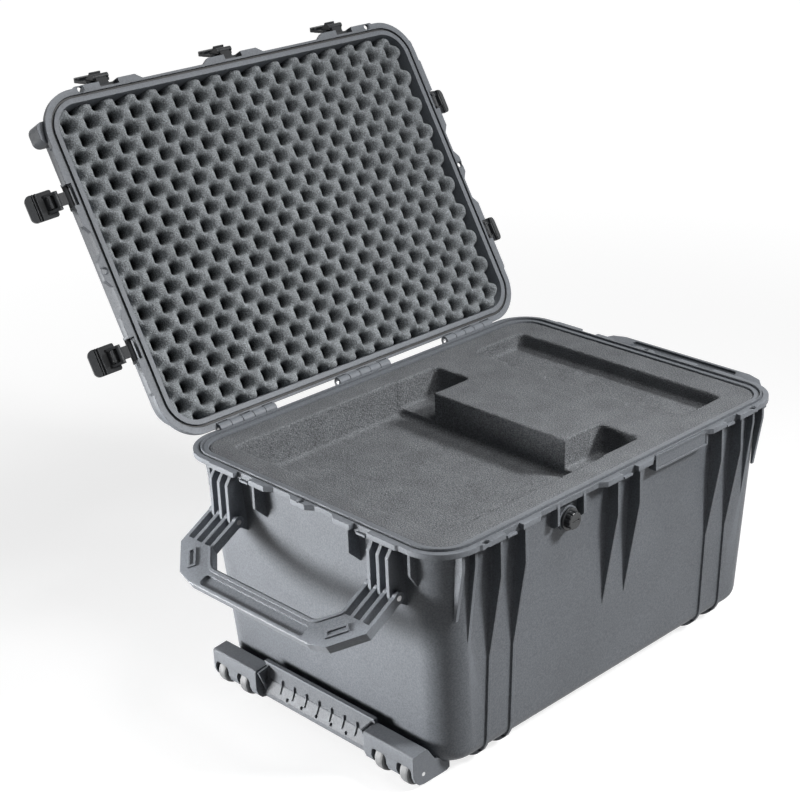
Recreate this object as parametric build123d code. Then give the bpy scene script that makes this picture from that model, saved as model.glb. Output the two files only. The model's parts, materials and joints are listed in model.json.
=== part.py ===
from build123d import *
import os

# Large wheeled transport case: deep tub, hinged lid, seven draw latches and fitted foam.
#
# Frame: +X to the pull end, +Y to the hinge side, +Z up, z = 0 on the ground under the skid rails.
# The wheels and one carry handle are at the -X end.  The lid is built shut and then turned open.

# ---- the case as a whole ----------------------------------------------------------------------
OPEN_X = 704.0           # clear opening, long way
OPEN_Y = 505.0           # clear opening, short way
TUB_DEPTH = 352.0        # underside of the tub to the parting plane
RAIL_H = 18.0            # skid rails below the tub
RAIL_SWEEP = 50.0        # how the rails sweep up into the ribs of the long walls
LID_DEPTH = 60.0         # parting plane to the top of the lid
LID_OPEN = 120.0         # how far the lid stands open, degrees
CORNER_R = 48.0          # plan radius of the walls' corners
PARTING = RAIL_H + TUB_DEPTH

# ---- walls ------------------------------------------------------------------------------------
RIM_OUT = 7.5            # outer wall face beyond the opening, at the parting plane
BASE_WALL = 6.5
LID_WALL = 6.0
BASE_LEAN = 21.0         # how far the tub wall leans in over its depth
LID_LEAN = 5.0
BASE_EDGE_R = 24.0       # rounding along the bottom of the tub
LID_EDGE_R = 14.0

# ---- rim flange, its lugs and the seal --------------------------------------------------------
FLANGE_T = 8.0
FLANGE_OUT = 17.5        # plain flange beyond the opening
CORNER_OUT = 23.5        # flange round the corners
CORNER_RUN = 62.0        # how far the wide corner flange runs along each side
LUG_OUT = 26.0
LUG_CHAMFER = 12.0
LUG_LENGTH = 44.0
HOLED_LUG_LENGTH = 56.0
END_LUG_LENGTH = 66.0    # lug that caps the handle bracket
PADLOCK_R = 4.5
PADLOCK_CHAMFER = 2.0
PADLOCK_FROM_LATCH = 52.0
MID_LUG_LENGTH = 52.0
TONGUE_IN = 10.2
TONGUE_W = 2.6
TONGUE_H = 3.0
MOAT_W = 2.0
MOAT_D = 1.6
GROOVE_CLEAR = 0.8       # groove beyond the tongue, each side
GROOVE_D = 5.4
SEAL_SQUEEZE_GAP = 0.4   # tongue to seal, lid shut
SEAL_SIDE_GAP = 0.3

# ---- latches ----------------------------------------------------------------------------------
LATCH_FROM_CORNER = 112.0      # outer front latches, from the end of the opening
END_LATCH_FROM_CORNER = 130.5  # end latches, from the side of the opening
LATCH_GAP = 34.0         # clear width between two lugs
EAR_T = 4.0
EAR_R = 5.0
EAR_TOP = 34.0
LINK_PIVOT_OUT = 21.0
LINK_PIVOT_UP = 15.0
LEVER_PIVOT_OUT = 23.5
LEVER_PIVOT_DOWN = 3.0
LATCH_PIN_R = 2.5
PIN_CLEAR = 0.05
LINK_SIDE_CLEAR = 0.5
LINK_T = 5.0
LINK_EYE_R = 4.4
LINK_FOOT_W = 20.0
CHEEK_T = 4.0
CHEEK_GAP = 0.5
LEVER_W = 42.0
LEVER_T = 3.9
LEVER_TOP_DROP = 6.0     # top edge of the lever below the parting plane
LEVER_LENGTH = 42.0
LEVER_TIP_R = 9.0
LEVER_TIP_T = 7.0        # thumb pad at the tip
LEVER_TIP_RUN = 11.0
LEVER_STAND_OFF = 2.6    # lever plate in front of the lugs
LEVER_RIBS = 5
LEVER_RIB_PITCH = 4.4
LEVER_RIB_PROUD = 1.4
INNER_RIB_PROUD = 4.0    # cross ribs on the lever's inner face
INNER_RIB_T = 1.6
LEVER_EDGE_T = 2.0       # side walls of the lever's ribbed field
NOSE_W = 19.0
CATCH_TOOTH_W = 18.0     # the part of the catch between the lever's cheeks
CATCH_TOOTH_OUT = 22.0
CATCH_TOOTH_DROP = 0.8   # below the flange
NOSE_T = 4.6
NOSE_CLEAR = 0.5         # nose under the catch lip
NOSE_REACH = 5.0         # how far the nose passes under the catch
CATCH_LIP = 4.0          # lip under the flange that the nose pulls on
LINK_OPEN = 95.0         # degrees from shut
LEVER_OPEN = 60.0        # degrees from its shut place on the link
SIDE_LEVER_REST = 15.0   # how far the levers on the ends stand open

# ---- fins, ribs and rails ---------------------------------------------------------------------
FIN_T = 5.0
FIN_OUT = 24.5
FIN_FROM_LATCH = 24.0
FIN_KNEE = 60.0
FIN_DROP = 215.0
CORNER_FINS = ((48.0, 155.0), (24.0, 112.0))   # distance from the end of the opening, drop
END_FIN_DROP = 64.0
END_FIN_KNEE = 44.0
EDGE_FIN_FROM_CORNER = 44.0
LID_FIN_RISE = 44.0
RIB_T = 6.0
RIB_OUT = 3.0
SHOE_T = 11.0

# ---- bumpers on the lid's ends ------------------------------------------------------------------
BUMPER_FROM_SIDE = 29.5      # middle, from the side of the opening
BUMPER_W = 34.0
BUMPER_OUT = 31.0
BUMPER_R = 11.0
BUMPER_FROM = 9.0            # above the parting plane
BUMPER_TO = 42.0
BUMPER_EDGE_R = 6.0

# ---- hinge ------------------------------------------------------------------------------------
HINGE_OUT = 24.5
HINGE_R = 8.0
HINGE_PIN_R = 3.0
HINGE_GROUP_W = 110.0
HINGE_KNUCKLES = 5
HINGE_END_GAP = 0.5
HINGE_WEB_DROP = 46.0
HINGE_WEB_RISE = 26.0

# ---- carry handles ----------------------------------------------------------------------------
HANDLE_FROM_CORNER = 86.5    # middle of each bracket, from the side of the opening
HANDLE_PIVOT_OUT = 24.0
HANDLE_PIVOT_DROP = 78.0
HANDLE_PIN_R = 4.0
BRACKET_PITCH = 18.0
BRACKET_WEBS = 3
BRACKET_WEB_T = 6.0
BRACKET_NOSE_R = 9.0
ARM_T = 6.0
ARM_EYE_R = 9.0
ARM_RUN = 66.0
GRIP_FAR = 115.0
GRIP_W = 35.0
GRIP_T = 15.0
CHAMFER_IN = 41.0
CHAMFER_MID = 107.0
CHAMFER_END = 72.0
INNER_CHAMFER = 27.0
GROOVE_DEPTH = 4.5
GROOVE_W = 17.0
INNER_CORNER_R = 18.0
BEAD_IN = 2.0            # raised bead round the inside of the handle, from its edge
BEAD_W = 4.5
BEAD_PROUD = 2.2
HANDLE_BLOCK = (34.0, 13.0, 2.5)
HANDLE_DROP_WHEEL_END = 30.0     # below level, as it stands
HANDLE_DROP_PULL_END = -14.0

# ---- wheels and their carriage ----------------------------------------------------------------
WHEEL_R = 21.0
WHEEL_LIFT = 1.0         # tyre above the ground when the rails carry the case
WHEEL_W = 18.0
WHEEL_FROM_MIDDLE = (147.0, 197.0)
AXLE_R = 3.0
AXLE_X_OUT = 24.0        # axle beyond the tub wall at axle height
TYRE_T = 5.0
BEARING_R = 6.5
BEARING_W = 6.0
HUB_SIDE_GAP = 0.6
WELL_GAP = 3.0           # round the tyre
WELL_SIDE_GAP = 6.0
WELL_R = 6.0             # rounding of the wells' corners
MOUTH_TOP = 34.0         # front opening of each well
HOUSING_IN = 117.0       # housings, from the middle line
HOUSING_OUT = 216.0
HOUSING_FACE = 19.0      # face of the housings beyond the axle
HOUSING_TOP = 56.0
HOUSING_RIDGE = (26.0, 2.5)      # ridge behind the face, and how far it rises
HOUSING_LIP = 24.0       # lower edge of the face
HOUSING_FLOOR = 6.0
HOUSING_REACH = 69.0     # from the face to the end under the tub
CARRIAGE_GAP = 0.3
BAR_BACK = 21.5          # the bar's panel behind the face of the housings
BAR_TOP = 66.0
BAR_BEAD = (1.5, 3.0)
BAR_T = 5.0
BAR_LEDGE = 37.0         # height of the line where the lower panel starts
BAR_SKIRT = 9.3          # how far the lower panel leans out
BAR_LOW = 19.0
BAR_FLOOR = 12.0
BAR_RIBS = 7
BAR_RIB_PITCH = 27.0
BAR_HOLES = 5
BAR_HOLE_PITCH = 32.0
BAR_HOLE_R = 2.6
STAY_T = 3.0             # V-shaped stays beside the housings
STAY_GAP = 4.0

# ---- purge valve and nameplate place -----------------------------------------------------------
VALVE_X = -118.0
VALVE_DROP = 35.0
VALVE_BOSS_R = 19.0
VALVE_BOSS_OUT = 12.0
VALVE_BODY_R = 16.5
VALVE_BODY_T = 4.0
VALVE_STEM_R = 8.0
VALVE_KNOB_R = 13.0
VALVE_KNOB_T = 9.0
VALVE_GUARD_OUT = 19.0
VALVE_GUARD_FROM = 27.0
VALVE_GUARD_DROP = 40.0
VALVE_NUT_R = 13.0
VALVE_NUT_T = 5.0
PLATE_X = 125.0
PLATE_W = 122.0
PLATE_H = 24.0
PLATE_OUT = 19.5
PLATE_SUNK = 1.2

# ---- foam -------------------------------------------------------------------------------------
RIM_FOAM_GAP = 1.0       # tub wall beyond the opening at the parting plane
FOAM_GAP = 0.4
FOAM_TOP_DROP = 2.0
INSERT_T = 90.0
SCREEN_POCKET = (336.0, 428.0, 60.0)     # long way, short way, depth
SCREEN_EDGE = 36.0       # pocket from the wheel end of the opening
FOOT_POCKET = (80.0, 76.0, 48.0)
FOOT_FROM_SIDE = 41.0
KEYBOARD_POCKET = (112.0, 420.0, 26.0)
KEYBOARD_EDGE = 52.0     # pocket from the pull end of the opening
POCKET_R = 10.0
LIFT_R = 9.0
LID_FOAM_DROP = 4.0      # peaks behind the parting plane

# ---- lid top ------------------------------------------------------------------------------------
LID_PANEL_PROUD = 3.0
LID_PANELS = 3
LID_PANEL_W = 108.0
LID_PANEL_GAP = 30.0
LID_PANEL_END = 118.0

SIDES = {"front": (0.0, OPEN_Y / 2), "left": (-90.0, OPEN_X / 2),
         "right": (90.0, OPEN_X / 2), "back": (180.0, OPEN_Y / 2)}
FRONT_LATCHES = (-(OPEN_X / 2 - LATCH_FROM_CORNER), 0.0, OPEN_X / 2 - LATCH_FROM_CORNER)
END_LATCHES = (-(OPEN_Y / 2 - END_LATCH_FROM_CORNER), OPEN_Y / 2 - END_LATCH_FROM_CORNER)
LATCHES = [("front", u) for u in FRONT_LATCHES]
LATCHES += [(side, u) for side in ("left", "right") for u in END_LATCHES]
HANDLE_AT = OPEN_Y / 2 - HANDLE_FROM_CORNER
HINGE_Y = OPEN_Y / 2 + HINGE_OUT
LEVER_INNER = LUG_OUT + LEVER_STAND_OFF
AXLE_Z = WHEEL_LIFT + WHEEL_R


# ---- helpers ------------------------------------------------------------------------------------
def on_side(side, shape):
    """Carry a shape from the front's own frame (edge of the opening at y = 0, outward -Y) to a side."""
    turn, half = SIDES[side]
    return Rot(0, 0, turn) * Pos(0, -half, 0) * shape


def plan(grow, radius):
    """The opening's rounded rectangle, grown all round."""
    return RectangleRounded(OPEN_X + 2 * grow, OPEN_Y + 2 * grow, radius)


def slab(grow, radius, z_low, z_high):
    """A flat layer with the opening's plan grown all round."""
    return Pos(0, 0, z_low) * extrude(plan(grow, radius), z_high - z_low)


def ring(grow_in, grow_out, z_low, z_high):
    """A flat ring that follows the rim."""
    outer = slab(grow_out, CORNER_R + grow_out - RIM_OUT, z_low, z_high)
    return outer - slab(grow_in, CORNER_R + grow_in - RIM_OUT, z_low, z_high)


def drafted(grow_low, grow_high, radius, z_low, z_high):
    """A body whose walls lean, between two rounded rectangles."""
    return loft([Pos(0, 0, z_low) * plan(grow_low, radius), Pos(0, 0, z_high) * plan(grow_high, radius)])


def tub_grow(z):
    """How far the tub's outer wall stands beyond the opening at a height."""
    return RIM_OUT - BASE_LEAN * (PARTING - z) / TUB_DEPTH


def cavity_grow(z):
    """The same for the tub's inner wall."""
    return RIM_FOAM_GAP - BASE_LEAN * (PARTING - z) / TUB_DEPTH


def lid_grow(z):
    """The same for the shut lid's outer wall."""
    return RIM_OUT - LID_LEAN * (z - PARTING) / LID_DEPTH


def edges_at(body, z):
    """The edges of a body that lie flat at a height."""
    return [e for e in body.edges() if abs(e.bounding_box().max.Z - z) < 0.01
            and abs(e.bounding_box().min.Z - z) < 0.01]


def upright(points, thickness, u=0.0):
    """A web across the edge: (outward, height) points, centred on u."""
    face = make_face(Polyline([(0, -v, w) for v, w in points], close=True))
    return Pos(u, 0, 0) * extrude(face, thickness / 2, dir=(1, 0, 0), both=True)


def bar_u(radius, half_length, out, height, u=0.0):
    """A round bar along the edge."""
    return Pos(u, -out, height) * Rot(0, 90, 0) * Cylinder(radius, 2 * half_length)


def save(name, shape):
    """Write one node."""
    export_step(shape, "parts/" + name + ".step")


# ---- rim flange, shared by tub and lid -----------------------------------------------------------
def lug(u_gap, length, toward):
    """Half of a latch's pair of lugs: square at the gap, chamfered at its far end."""
    u_end = u_gap + toward * length
    u_knee = u_end - toward * LUG_CHAMFER
    points = [(u_gap, 0), (u_gap, -LUG_OUT), (u_knee, -LUG_OUT), (u_end, -FLANGE_OUT), (u_end, 0)]
    return make_face(Polyline(points, close=True))


def latch_lugs(side, u):
    """The pair of lugs on either side of one latch, longer where a lug also does something else."""
    lengths = {-1: LUG_LENGTH, 1: LUG_LENGTH}
    if u != 0:
        outward = 1 if u > 0 else -1
        lengths[outward] = HOLED_LUG_LENGTH if side == "front" else END_LUG_LENGTH
    return [lug(u + s * LATCH_GAP / 2, lengths[s], s) for s in (-1, 1)]


def flange_plan():
    """Plan of the scalloped flange."""
    wide = plan(CORNER_OUT, CORNER_R + CORNER_OUT - RIM_OUT)
    reach = CORNER_RUN + CORNER_OUT
    corner = Rectangle(2 * reach, 2 * reach)
    corners = [Pos(sx * (OPEN_X / 2 + CORNER_OUT), sy * (OPEN_Y / 2 + CORNER_OUT)) * corner
               for sx in (-1, 1) for sy in (-1, 1)]
    outline = plan(FLANGE_OUT, CORNER_R + FLANGE_OUT - RIM_OUT)
    for piece in corners:
        outline += wide & piece
    for side, u in LATCHES:
        for piece in latch_lugs(side, u):
            outline += on_side(side, piece)
    half = MID_LUG_LENGTH / 2
    mid_points = [(-half, 0), (-half, -FLANGE_OUT), (-half + LUG_CHAMFER, -LUG_OUT),
                  (half - LUG_CHAMFER, -LUG_OUT), (half, -FLANGE_OUT), (half, 0)]
    for side in ("left", "right"):
        outline += on_side(side, make_face(Polyline(mid_points, close=True)))
    return outline


def padlock_places():
    """Side and place along it of every padlock hole."""
    outer = OPEN_X / 2 - LATCH_FROM_CORNER + PADLOCK_FROM_LATCH
    return [("front", -outer), ("front", outer), ("left", 0.0), ("right", 0.0)]


def padlock_out():
    """How far out from the opening the padlock holes lie."""
    return (FLANGE_OUT + LUG_OUT) / 2 - 1


def padlock_holes(z_low, z_high):
    """Cutters for the padlock holes through one flange, eased where they come out."""
    hole = Pos(0, 0, (z_low + z_high) / 2) * Cylinder(PADLOCK_R, 2 * (z_high - z_low))
    for z, turn in ((z_low, 180), (z_high, 0)):
        mouth = Cone(PADLOCK_R, PADLOCK_R + 2 * PADLOCK_CHAMFER, 2 * PADLOCK_CHAMFER)
        hole += Pos(0, 0, z) * Rot(turn, 0, 0) * mouth
    return [on_side(side, Pos(u, -padlock_out(), 0) * hole) for side, u in padlock_places()]


def flange(z_low, z_high):
    """The flange as a layer, with its padlock holes."""
    body = Pos(0, 0, z_low) * extrude(flange_plan(), z_high - z_low)
    return body - padlock_holes(z_low, z_high)


# ---- hinge ----------------------------------------------------------------------------------------
def knuckle_spans():
    """(start, end, owner) along each hinge group, from its middle."""
    width = HINGE_GROUP_W / HINGE_KNUCKLES
    spans = []
    for i in range(HINGE_KNUCKLES):
        start = -HINGE_GROUP_W / 2 + i * width + HINGE_END_GAP
        spans.append((start, start + width - 2 * HINGE_END_GAP, "tub" if i % 2 == 0 else "lid"))
    return spans


def knuckles(owner):
    """Hinge knuckles of one half, each with the web that carries it."""
    root = RIM_OUT - BASE_WALL / 2
    if owner == "tub":
        low = PARTING - HINGE_WEB_DROP
        points = [(root, PARTING - 1), (HINGE_OUT, PARTING - 1), (HINGE_OUT + HINGE_R, PARTING),
                  (HINGE_OUT + HINGE_R * 0.6, PARTING - HINGE_R * 1.2), (root, low)]
    else:
        high = PARTING + HINGE_WEB_RISE
        points = [(root, PARTING + 1), (HINGE_OUT, PARTING + 1), (HINGE_OUT + HINGE_R, PARTING),
                  (HINGE_OUT + HINGE_R * 0.6, PARTING + HINGE_R), (root, high)]
    pieces = []
    for group in FRONT_LATCHES:
        for start, end, who in knuckle_spans():
            if who != owner:
                continue
            middle = group + (start + end) / 2
            web = upright(points, end - start, middle)
            barrel = bar_u(HINGE_R, (end - start) / 2, HINGE_OUT, PARTING, middle)
            pieces.append(on_side("back", web + barrel))
    return pieces


def knuckle_room(owner):
    """Clearance that one half leaves round the other half's knuckles."""
    pieces = []
    for group in FRONT_LATCHES:
        for start, end, who in knuckle_spans():
            if who == owner:
                continue
            half = (end - start) / 2 + HINGE_END_GAP
            room = bar_u(HINGE_R + 1, half, HINGE_OUT, PARTING, group + (start + end) / 2)
            pieces.append(on_side("back", room))
    return pieces


def hinge_pins(radius, extra=0.0):
    """One pin along each hinge group."""
    half = HINGE_GROUP_W / 2 - HINGE_END_GAP + extra
    return [on_side("back", bar_u(radius, half, HINGE_OUT, PARTING, group)) for group in FRONT_LATCHES]


# ---- tub ------------------------------------------------------------------------------------------
def fin(side, u, out, knee, drop):
    """A tapered fin under the flange: full depth to its knee, then running out on the leaning wall."""
    buried = BASE_WALL / 2
    tip = PARTING - drop
    points = [(RIM_OUT - buried, PARTING - 1), (out, PARTING - 1), (out, PARTING - knee),
              (tub_grow(tip), tip), (tub_grow(tip) - buried, tip)]
    return on_side(side, upright(points, FIN_T, u))


def base_fins():
    """All fins of the tub."""
    fins = []
    for u in FRONT_LATCHES:
        for s in (-1, 1):
            fins.append(fin("front", u + s * FIN_FROM_LATCH, FIN_OUT, FIN_KNEE, FIN_DROP))
            if u != 0:
                fins.append(fin("back", u + s * FIN_FROM_LATCH, FLANGE_OUT - 1, FIN_KNEE, FIN_DROP))
    for side in ("front", "back"):
        for s in (-1, 1):
            for inset, drop in CORNER_FINS:
                u = s * (OPEN_X / 2 - inset)
                fins.append(fin(side, u, FLANGE_OUT - 1, FIN_KNEE / 2, drop))
    for side in ("left", "right"):
        for u in END_LATCHES:
            inner = u - FIN_FROM_LATCH if u > 0 else u + FIN_FROM_LATCH
            fins.append(fin(side, inner, FIN_OUT, END_FIN_KNEE, END_FIN_DROP))
        for s in (-1, 1):
            u = s * (OPEN_Y / 2 - EDGE_FIN_FROM_CORNER)
            fins.append(fin(side, u, FLANGE_OUT - 1, END_FIN_KNEE, END_FIN_DROP))
    return fins


def rib_and_rail_places():
    """Where the thin ribs run down the long walls and on under the tub as skid rails."""
    return [u + s * FIN_FROM_LATCH for u in FRONT_LATCHES if u != 0 for s in (-1, 1)]


def rib_section():
    """Section of ribs and rails across the case: the tub's own, grown, its lower edges swept up."""
    high_z = PARTING - FLANGE_T
    low = OPEN_Y / 2 + tub_grow(0) + RIB_OUT
    high = OPEN_Y / 2 + tub_grow(high_z) + RIB_OUT
    outline = [(0, -low, 0), (0, low, 0), (0, high, high_z), (0, -high, high_z)]
    face = make_face(Polyline(outline, close=True))
    return fillet(face.vertices().group_by(Axis.Z)[0], RAIL_SWEEP)


def ribs_and_rails():
    """Thin ribs on the long walls that run on under the tub as rails."""
    section = rib_section()
    blade = extrude(section, RIB_T / 2, dir=(1, 0, 0), both=True)
    below = Pos(0, 0, RAIL_H / 2) * Box(2 * SHOE_T, 2 * OPEN_Y, RAIL_H)
    shoe = extrude(section, SHOE_T / 2, dir=(1, 0, 0), both=True) & below
    blades = []
    for u in rib_and_rail_places():
        blades.append(Pos(u, 0, 0) * blade)
        blades.append(Pos(u, 0, 0) * shoe)
    return blades


def bracket_offsets(count, pitch):
    """Places of webs or arm plates across a handle bracket."""
    return [(i - (count - 1) / 2) * pitch for i in range(count)]


def handle_brackets():
    """Three webs at each end of both carry handles."""
    pivot_z = PARTING - HANDLE_PIVOT_DROP
    low = pivot_z - BRACKET_NOSE_R
    buried = BASE_WALL / 2
    nose = HANDLE_PIVOT_OUT + BRACKET_NOSE_R
    points = [(RIM_OUT - buried, PARTING - 1), (LUG_OUT - 1, PARTING - 1), (LUG_OUT - 1, PARTING - FLANGE_T),
              (nose, PARTING - FLANGE_T - 12), (nose, pivot_z), (HANDLE_PIVOT_OUT, low),
              (tub_grow(low) - buried, low - 16)]
    pieces = []
    for side in ("left", "right"):
        for s in (-1, 1):
            for offset in bracket_offsets(BRACKET_WEBS, BRACKET_PITCH):
                u = s * HANDLE_AT + offset
                web = upright(points, BRACKET_WEB_T, u)
                web += bar_u(BRACKET_NOSE_R, BRACKET_WEB_T / 2, HANDLE_PIVOT_OUT, pivot_z, u)
                pieces.append(on_side(side, web))
    return pieces


def handle_pins(radius, extra=0.0):
    """A pin through each handle bracket and arm."""
    half = BRACKET_WEBS * BRACKET_PITCH / 2 + ARM_T / 2 + extra
    pivot_z = PARTING - HANDLE_PIVOT_DROP
    return [on_side(side, bar_u(radius, half, HANDLE_PIVOT_OUT, pivot_z, s * HANDLE_AT))
            for side in ("left", "right") for s in (-1, 1)]


def catches():
    """Lip under the flange at each latch, with the tooth that the lever's nose pulls on."""
    under = PARTING - FLANGE_T
    low = under - CATCH_LIP
    points = [(RIM_OUT - 1, PARTING - 1), (FLANGE_OUT, PARTING - 1), (FLANGE_OUT, low), (RIM_OUT - 1, low)]
    top = under - CATCH_TOOTH_DROP
    tooth = [(RIM_OUT, top), (CATCH_TOOTH_OUT, top), (CATCH_TOOTH_OUT, low), (RIM_OUT, low)]
    pieces = []
    for side, u in LATCHES:
        pieces.append(on_side(side, upright(points, 2 * FIN_FROM_LATCH, u)))
        pieces.append(on_side(side, upright(tooth, CATCH_TOOTH_W, u)))
    return pieces


def valve_site():
    """Boss for the purge valve and the two guards beside it."""
    z = PARTING - VALVE_DROP
    depth = VALVE_BOSS_OUT
    boss = Pos(VALVE_X, -depth / 2, z) * Rot(90, 0, 0) * Cylinder(VALVE_BOSS_R, depth)
    low = PARTING - VALVE_GUARD_DROP
    points = [(RIM_OUT - 2, PARTING - 1), (FLANGE_OUT, PARTING - 1), (VALVE_GUARD_OUT, PARTING - FLANGE_T),
              (VALVE_GUARD_OUT, low + 6), (VALVE_GUARD_OUT - 6, low), (tub_grow(low) - 2, low)]
    guards = [upright(points, FIN_T, VALVE_X + s * VALVE_GUARD_FROM) for s in (-1, 1)]
    return [on_side("front", piece) for piece in [boss] + guards]


def nameplate_place():
    """Bare recessed place for a plate, on the front flange."""
    pad = Box(PLATE_W, PLATE_OUT - RIM_OUT + 1, PLATE_H, align=(Align.CENTER, Align.MAX, Align.MAX))
    recess = Box(PLATE_W - 8, PLATE_SUNK, PLATE_H - 6, align=(Align.CENTER, Align.MIN, Align.MAX))
    pad = Pos(PLATE_X, -RIM_OUT + 1, PARTING - MOAT_D - 0.4) * pad
    recess = Pos(PLATE_X, -PLATE_OUT, PARTING - MOAT_D - 3.4) * recess
    return on_side("front", pad - recess)


def base_shell():
    """The tub with everything moulded on it."""
    tub = drafted(tub_grow(RAIL_H), RIM_OUT, CORNER_R, RAIL_H, PARTING)
    tub = fillet(edges_at(tub, RAIL_H), BASE_EDGE_R)
    tub += [flange(PARTING - FLANGE_T, PARTING)] + base_fins() + ribs_and_rails() + handle_brackets()
    tub += catches() + valve_site() + [nameplate_place()] + knuckles("tub")
    floor = RAIL_H + BASE_WALL
    cavity = drafted(cavity_grow(floor), cavity_grow(PARTING), CORNER_R - BASE_WALL, floor, PARTING)
    cavity = fillet(edges_at(cavity, floor), BASE_EDGE_R - BASE_WALL)
    tub -= cavity
    tub -= ring(TONGUE_IN - MOAT_W, TONGUE_IN + TONGUE_W + MOAT_W, PARTING - MOAT_D, PARTING + 1)
    tub += ring(TONGUE_IN, TONGUE_IN + TONGUE_W, PARTING - MOAT_D - 1, PARTING + TONGUE_H)
    tub -= knuckle_room("tub")
    tub -= hinge_pins(HINGE_PIN_R + PIN_CLEAR, 1.0)
    tub -= handle_pins(HANDLE_PIN_R + PIN_CLEAR, 1.0)
    tub -= on_side("front", valve_axis_bar(VALVE_STEM_R + PIN_CLEAR, -BASE_LEAN, VALVE_BOSS_OUT + 1))
    return tub


# ---- lid ------------------------------------------------------------------------------------------
def ears():
    """The two ears of each latch, standing on the lid's lugs."""
    z = PARTING + LINK_PIVOT_UP
    points = [(RIM_OUT - 2.5, PARTING + 1), (LUG_OUT, PARTING + 1), (LUG_OUT, z),
              (LINK_PIVOT_OUT, z + EAR_R), (RIM_OUT, PARTING + EAR_TOP), (RIM_OUT - 4, PARTING + EAR_TOP)]
    pieces = []
    for side, u in LATCHES:
        for s in (-1, 1):
            place = u + s * (LATCH_GAP + EAR_T) / 2
            ear = upright(points, EAR_T, place)
            ear += bar_u(EAR_R, EAR_T / 2, LINK_PIVOT_OUT, z, place)
            pieces.append(on_side(side, ear))
    return pieces


def latch_pins(radius, extra=0.0):
    """A pin through each pair of ears."""
    half = LATCH_GAP / 2 + EAR_T + extra
    z = PARTING + LINK_PIVOT_UP
    return [on_side(side, bar_u(radius, half, LINK_PIVOT_OUT, z, u)) for side, u in LATCHES]


def lid_fins():
    """Short fins on the lid's walls behind the lugs."""
    top = PARTING + LID_FIN_RISE
    points = [(RIM_OUT - 3, PARTING + 1), (LUG_OUT - 2, PARTING + 1), (LUG_OUT - 2, PARTING + FLANGE_T),
              (lid_grow(top), top), (lid_grow(top) - 3, top)]
    places = []
    for side, u in LATCHES:
        for s in (-1, 1):
            places.append((side, u + s * (LATCH_GAP / 2 + LUG_LENGTH - LUG_CHAMFER - FIN_T)))
    return [on_side(side, upright(points, FIN_T, u)) for side, u in places]


def lid_bumpers():
    """Rounded bumpers on the ends of the lid, near its front corners."""
    inner = RIM_OUT - LID_LEAN
    pad = Rectangle(BUMPER_W, BUMPER_OUT - inner)
    pad = fillet(pad.vertices().group_by(Axis.Y)[0], BUMPER_R)
    pad = extrude(pad, BUMPER_TO - BUMPER_FROM)
    pad = fillet(pad.edges().group_by(Axis.Z)[-1].filter_by(lambda e: e.center().Y < BUMPER_R), BUMPER_EDGE_R)
    u = OPEN_Y / 2 - BUMPER_FROM_SIDE
    out = (BUMPER_OUT + inner) / 2
    return [on_side(side, Pos(place, -out, PARTING + BUMPER_FROM) * pad)
            for side, place in (("left", u), ("right", -u))]


def lid_panels():
    """Raised stiffening panels along the top of the lid."""
    top = PARTING + LID_DEPTH
    length = OPEN_X - 2 * LID_PANEL_END
    pitch = LID_PANEL_W + LID_PANEL_GAP
    panels = []
    for offset in bracket_offsets(LID_PANELS, pitch):
        panel = extrude(RectangleRounded(length, LID_PANEL_W, 12), LID_PANEL_PROUD + 2)
        panel = chamfer(panel.edges().group_by(Axis.Z)[-1], LID_PANEL_PROUD - 0.5)
        panels.append(Pos(0, offset, top - 2) * panel)
    return panels


def lid_shell():
    """The shut lid with everything moulded on it."""
    top = PARTING + LID_DEPTH
    lid = drafted(RIM_OUT, lid_grow(top), CORNER_R, PARTING, top)
    lid = fillet(edges_at(lid, top), LID_EDGE_R)
    lid += [flange(PARTING, PARTING + FLANGE_T)] + ears() + lid_fins() + knuckles("lid") + lid_panels()
    lid += lid_bumpers()
    inner_top = top - LID_WALL
    cavity = drafted(RIM_OUT - LID_WALL, lid_grow(inner_top) - LID_WALL, CORNER_R - LID_WALL, PARTING, inner_top)
    cavity = fillet(edges_at(cavity, inner_top), LID_EDGE_R - LID_WALL)
    lid -= cavity
    lid -= ring(TONGUE_IN - GROOVE_CLEAR, TONGUE_IN + TONGUE_W + GROOVE_CLEAR, PARTING - 1, PARTING + GROOVE_D)
    lid -= knuckle_room("lid")
    lid -= hinge_pins(HINGE_PIN_R + PIN_CLEAR, 1.0)
    lid -= latch_pins(LATCH_PIN_R + PIN_CLEAR, 1.0)
    return lid


def lid_seal():
    """The seal in the lid's groove."""
    low = PARTING + TONGUE_H + SEAL_SQUEEZE_GAP
    inner = TONGUE_IN - GROOVE_CLEAR + SEAL_SIDE_GAP
    outer = TONGUE_IN + TONGUE_W + GROOVE_CLEAR - SEAL_SIDE_GAP
    return ring(inner, outer, low, PARTING + GROOVE_D)


def lid_foam():
    """The convoluted foam's outer form, peaks to backing."""
    low = PARTING + LID_FOAM_DROP
    high = PARTING + LID_DEPTH - LID_WALL
    inset = LID_WALL + FOAM_GAP
    body = drafted(lid_grow(low) - inset, lid_grow(high) - inset, CORNER_R - inset, low, high)
    return fillet(edges_at(body, high), LID_EDGE_R - LID_WALL + 1)


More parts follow.
